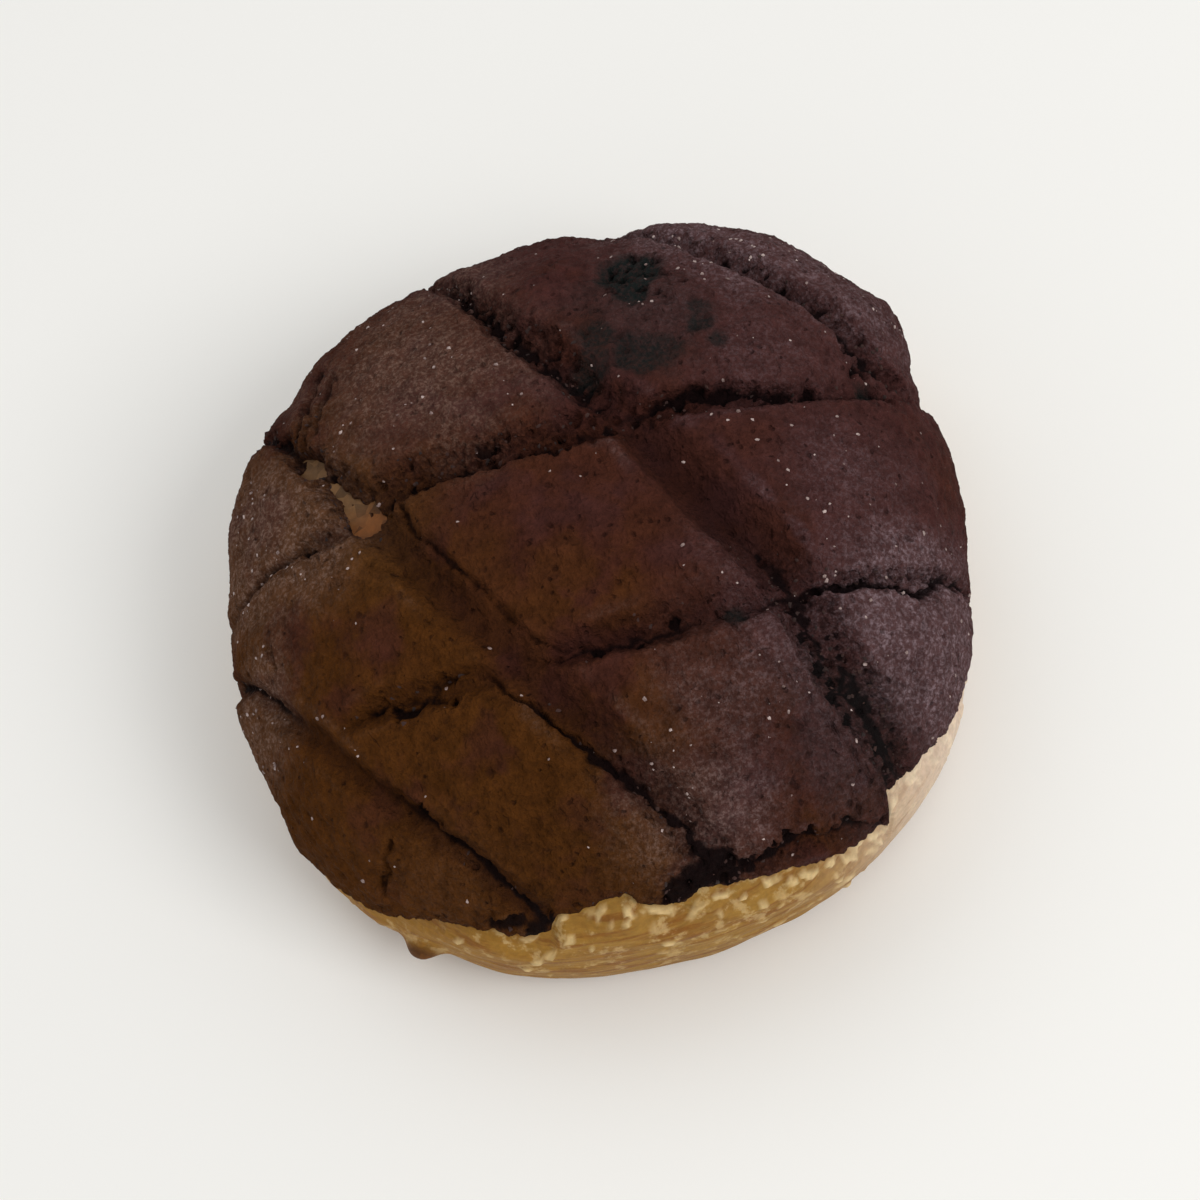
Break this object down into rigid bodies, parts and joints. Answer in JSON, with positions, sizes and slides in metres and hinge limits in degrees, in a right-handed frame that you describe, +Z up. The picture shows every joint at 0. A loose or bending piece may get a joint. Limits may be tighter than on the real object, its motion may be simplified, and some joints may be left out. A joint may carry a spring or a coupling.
{
  "type": "melon pan bun",
  "caption": "Round sweet bun under a thick cocoa cookie crust that is scored into diamonds, with a torn rim over a pale bread side.",
  "frame": {"origin": "middle of the flat base that the bun rests on", "axes": "+Z up through the crown; -Y towards the front, where the crust's torn rim sits highest and the bread side shows"},
  "size_m": [0.1157, 0.1193, 0.0522],
  "materials": {
    "bread": "golden baked bun, dry and slightly satin, with floury blotches",
    "cookie_crust": "matte dark cocoa biscuit, finely pored, with small scorched spots"
  },
  "bodies": {
    "root": {"bread": "bread", "cookie_crust": "cookie_crust"}
  },
  "joints": []
}
